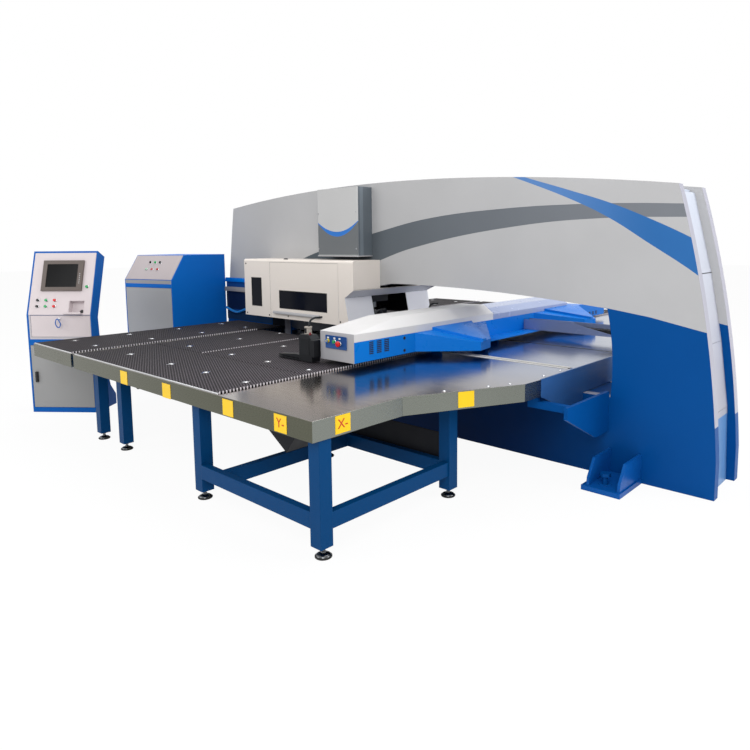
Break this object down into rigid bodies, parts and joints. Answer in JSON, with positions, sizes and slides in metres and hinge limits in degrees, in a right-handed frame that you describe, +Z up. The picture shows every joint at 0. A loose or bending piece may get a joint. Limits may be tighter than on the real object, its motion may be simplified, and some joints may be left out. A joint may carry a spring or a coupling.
{
  "type": "cnc turret punch press",
  "caption": "Closed O-frame turret punch press with brush tables, a moving beam with sheet clamps, an operator console and a control cabinet.",
  "frame": {"origin": "on the floor under the punch axis, in the frame's centre plane", "axes": "+X along the beam, +Y along the frame from the near column to the far column, +Z up"},
  "size_m": [6.225, 6.5495, 2.3288],
  "materials": {
    "machine_blue": "semi-gloss",
    "beam_blue": "gloss",
    "deep_blue": "semi-gloss",
    "light_grey": "satin",
    "cover_cream": "satin",
    "cover_white": "satin",
    "cover_grey": "satin",
    "panel_grey": "satin",
    "door_grey": "satin",
    "stainless": "polished",
    "brush": "matt",
    "steel": "machined",
    "dark_steel": "satin",
    "rubber_black": "matt",
    "black_plastic": "matt",
    "bezel": "matt",
    "green_button": "gloss",
    "red_button": "gloss",
    "black_button": "gloss"
  },
  "bodies": {
    "machine": {"frame_near_plate": "machine_blue", "frame_far_plate": "machine_blue", "frame_webs": "machine_blue", "frame_feet": "machine_blue", "levelling_bolts": "machine_blue", "mast_cover": "light_grey", "ram_housing": "dark_steel", "turret_guard": "cover_cream", "turret_guard_far": "cover_cream", "turret_supports": "dark_steel", "table_left": "stainless", "table_right": "stainless", "table_centre": "stainless", "table_rear": "stainless", "table_front_panel": "stainless", "brush_boards": "brush", "ball_transfers": "steel", "underframe_left": "deep_blue", "underframe_right": "deep_blue", "under_table_sheets": "dark_steel", "table_feet": "rubber_black", "table_brackets": "machine_blue", "y_rails": "steel", "console_body": "machine_blue", "console_panel": "panel_grey", "console_monitor": "bezel", "cabinet_body": "machine_blue", "cabinet_panel": "panel_grey", "cabinet_feet": "rubber_black"},
    "guard_door": {"guard_door": "cover_cream"},
    "upper_turret": {"upper_turret": "steel"},
    "lower_turret": {"lower_turret": "steel"},
    "punch_ram": {"punch_ram": "steel"},
    "beam": {"beam_body": "beam_blue", "beam_cover_near": "cover_white", "beam_cover_mid": "cover_grey", "beam_button_plate": "beam_blue", "x_rails": "steel", "cable_tray": "cover_grey", "cable_chain": "black_plastic"},
    "beam_start_button": {"beam_start_button": "green_button"},
    "beam_stop_button": {"beam_stop_button": "red_button"},
    "clamp_carriage": {"clamp_carriage": "dark_steel", "clamp_bodies": "dark_steel"},
    "clamp_jaw_1": {"clamp_jaw_1": "dark_steel"},
    "clamp_jaw_2": {"clamp_jaw_2": "dark_steel"},
    "clamp_jaw_3": {"clamp_jaw_3": "dark_steel"},
    "console_door": {"console_door": "door_grey"},
    "console_flap": {"console_flap": "panel_grey"},
    "cabinet_door": {"cabinet_door": "door_grey"},
    "cabinet_start_button": {"cabinet_start_button": "green_button"},
    "cabinet_selector_1": {"cabinet_selector_1": "black_button"},
    "cabinet_selector_2": {"cabinet_selector_2": "black_button"},
    "console_button_1": {"console_button_1": "black_button"},
    "console_button_2": {"console_button_2": "green_button"},
    "console_button_3": {"console_button_3": "red_button"},
    "console_button_4": {"console_button_4": "black_button"},
    "console_button_5": {"console_button_5": "green_button"},
    "console_button_6": {"console_button_6": "red_button"},
    "console_power_button": {"console_power_button": "green_button"}
  },
  "joints": [
    {"name": "beam_y_slide", "type": "slide", "parent": "machine", "child": "beam", "axis": [0, 1, 0], "range_m": [-0.95, 0.3]},
    {"name": "carriage_x_slide", "type": "slide", "parent": "beam", "child": "clamp_carriage", "axis": [1, 0, 0], "range_m": [0, 2.5]},
    {"name": "clamp_jaw_1_pivot", "type": "hinge", "parent": "clamp_carriage", "child": "clamp_jaw_1", "pos_m": [-1.545, -0.738, 0.858], "axis": [1, 0, 0], "range_deg": [0, 8]},
    {"name": "clamp_jaw_2_pivot", "type": "hinge", "parent": "clamp_carriage", "child": "clamp_jaw_2", "pos_m": [-0.795, -0.738, 0.858], "axis": [1, 0, 0], "range_deg": [0, 8]},
    {"name": "clamp_jaw_3_pivot", "type": "hinge", "parent": "clamp_carriage", "child": "clamp_jaw_3", "pos_m": [-0.045, -0.738, 0.858], "axis": [1, 0, 0], "range_deg": [0, 8]},
    {"name": "upper_turret_spin", "type": "hinge", "parent": "machine", "child": "upper_turret", "pos_m": [0, 0.46, 0.91], "axis": [0, 0, 1], "continuous": true},
    {"name": "lower_turret_spin", "type": "hinge", "parent": "machine", "child": "lower_turret", "pos_m": [0, 0.46, 0.745], "axis": [0, 0, 1], "continuous": true},
    {"name": "ram_stroke", "type": "slide", "parent": "machine", "child": "punch_ram", "axis": [0, 0, 1], "range_m": [-0.037, 0]},
    {"name": "guard_door_hinge", "type": "hinge", "parent": "machine", "child": "guard_door", "pos_m": [-0.645, 0.3555, 1.559], "axis": [0, 1, 0], "range_deg": [0, 95]},
    {"name": "beam_start_push", "type": "slide", "parent": "beam", "child": "beam_start_button", "axis": [1, 0, 0], "range_m": [0, 0.003], "stiffness_N_per_m": 1500},
    {"name": "beam_stop_push", "type": "slide", "parent": "beam", "child": "beam_stop_button", "axis": [1, 0, 0], "range_m": [0, 0.003], "stiffness_N_per_m": 1500},
    {"name": "console_door_hinge", "type": "hinge", "parent": "machine", "child": "console_door", "pos_m": [-2.06972, 2.07545, 0.385], "axis": [0, 0, 1], "range_deg": [0, 50]},
    {"name": "console_flap_hinge", "type": "hinge", "parent": "machine", "child": "console_flap", "pos_m": [-2.27394, 2.33339, 0.806], "axis": [0.6207, -0.784, 0], "range_deg": [0, 65]},
    {"name": "cabinet_door_hinge", "type": "hinge", "parent": "machine", "child": "cabinet_door", "pos_m": [-1.33342, 2.80931, 0.685], "axis": [0, 0, -1], "range_deg": [0, 50]},
    {"name": "console_button_1_push", "type": "slide", "parent": "machine", "child": "console_button_1", "axis": [0.7485, 0.5926, -0.2974], "range_m": [0, 0.003], "stiffness_N_per_m": 1500},
    {"name": "console_button_2_push", "type": "slide", "parent": "machine", "child": "console_button_2", "axis": [0.7485, 0.5926, -0.2974], "range_m": [0, 0.003], "stiffness_N_per_m": 1500},
    {"name": "console_button_3_push", "type": "slide", "parent": "machine", "child": "console_button_3", "axis": [0.7485, 0.5926, -0.2974], "range_m": [0, 0.003], "stiffness_N_per_m": 1500},
    {"name": "console_button_4_push", "type": "slide", "parent": "machine", "child": "console_button_4", "axis": [0.7485, 0.5926, -0.2974], "range_m": [0, 0.003], "stiffness_N_per_m": 1500},
    {"name": "console_button_5_push", "type": "slide", "parent": "machine", "child": "console_button_5", "axis": [0.7485, 0.5926, -0.2974], "range_m": [0, 0.003], "stiffness_N_per_m": 1500},
    {"name": "console_button_6_push", "type": "slide", "parent": "machine", "child": "console_button_6", "axis": [0.7485, 0.5926, -0.2974], "range_m": [0, 0.003], "stiffness_N_per_m": 1500},
    {"name": "console_power_push", "type": "slide", "parent": "machine", "child": "console_power_button", "axis": [0.7485, 0.5926, -0.2974], "range_m": [0, 0.003], "stiffness_N_per_m": 1500},
    {"name": "cabinet_start_push", "type": "slide", "parent": "machine", "child": "cabinet_start_button", "axis": [0.7841, 0.2101, -0.5839], "range_m": [0, 0.003], "stiffness_N_per_m": 1500},
    {"name": "cabinet_selector_1_turn", "type": "hinge", "parent": "machine", "child": "cabinet_selector_1", "pos_m": [-1.13739, 2.56989, 1.54978], "axis": [-0.7841, -0.2101, 0.5839], "range_deg": [-45, 45]},
    {"name": "cabinet_selector_2_turn", "type": "hinge", "parent": "machine", "child": "cabinet_selector_2", "pos_m": [-1.09572, 2.41437, 1.54978], "axis": [-0.7841, -0.2101, 0.5839], "range_deg": [-45, 45]}
  ],
  "couplings": [
    {"joint": "lower_turret_spin", "follows": "upper_turret_spin", "ratio": 1},
    {"joint": "clamp_jaw_2_pivot", "follows": "clamp_jaw_1_pivot", "ratio": 1},
    {"joint": "clamp_jaw_3_pivot", "follows": "clamp_jaw_1_pivot", "ratio": 1}
  ]
}
